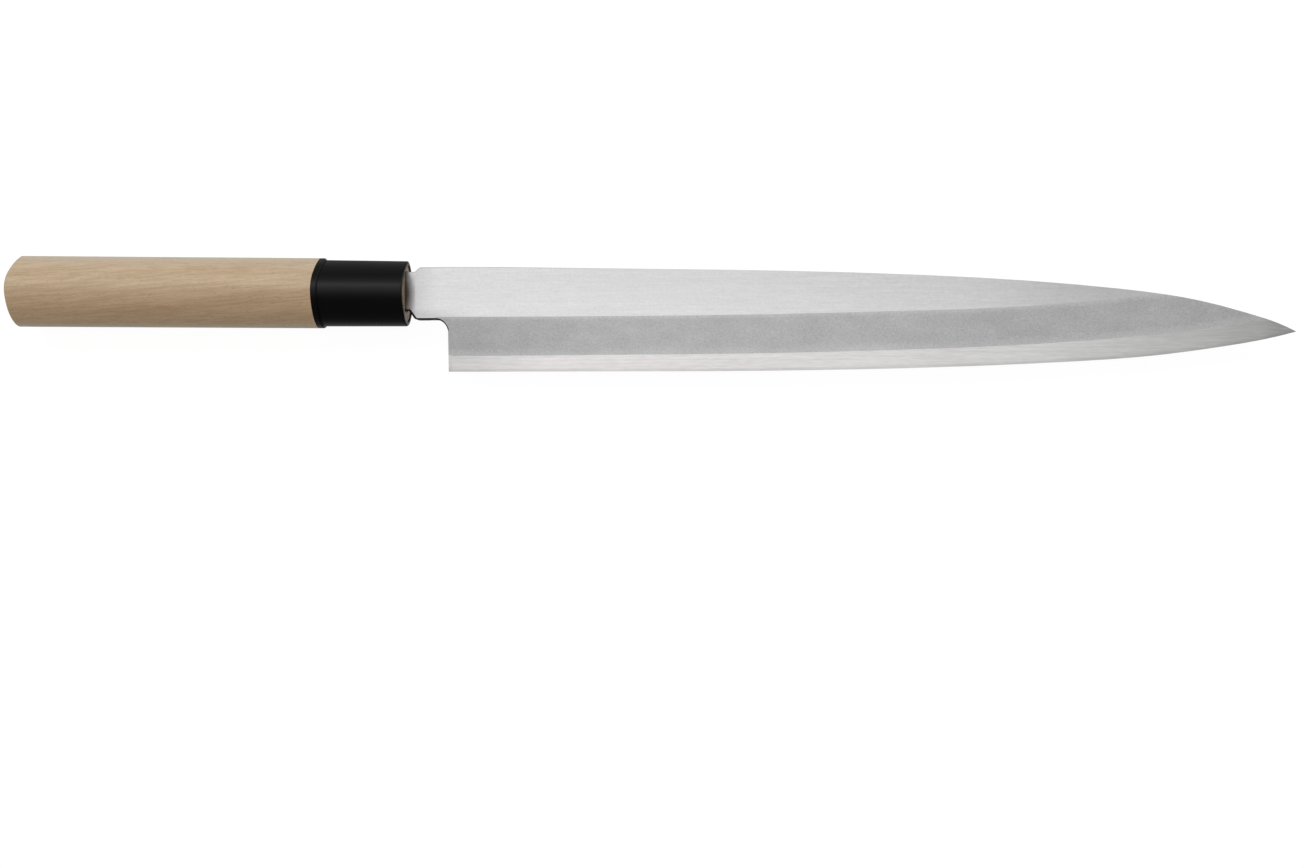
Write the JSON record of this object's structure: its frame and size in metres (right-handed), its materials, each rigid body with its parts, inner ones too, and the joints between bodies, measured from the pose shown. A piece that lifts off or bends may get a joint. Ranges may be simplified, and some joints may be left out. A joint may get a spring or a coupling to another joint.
{
  "type": "yanagiba knife",
  "caption": "Long single-bevel Japanese slicing knife with a laminated blade, hollow-ground back, chestnut-section wooden handle and dark ferrule.",
  "frame": {"origin": "under the middle of the knife's box, on the plane that the back of the handle lies on", "axes": "+X from the butt of the handle to the tip, +Y from the cutting edge to the spine, +Z out of the bevelled front face"},
  "size_m": [0.4142, 0.039, 0.0189],
  "materials": {
    "soft_iron": "fine lengthwise brushing on the flat, blasted satin on the bevel",
    "edge_steel": "finely ground, bright",
    "magnolia": "bare sanded wood, straight grain",
    "ferrule_plastic": "satin moulded plastic"
  },
  "bodies": {
    "root": {"iron_cladding": "soft_iron", "edge_steel": "edge_steel", "handle": "magnolia", "ferrule": "ferrule_plastic"}
  },
  "joints": []
}
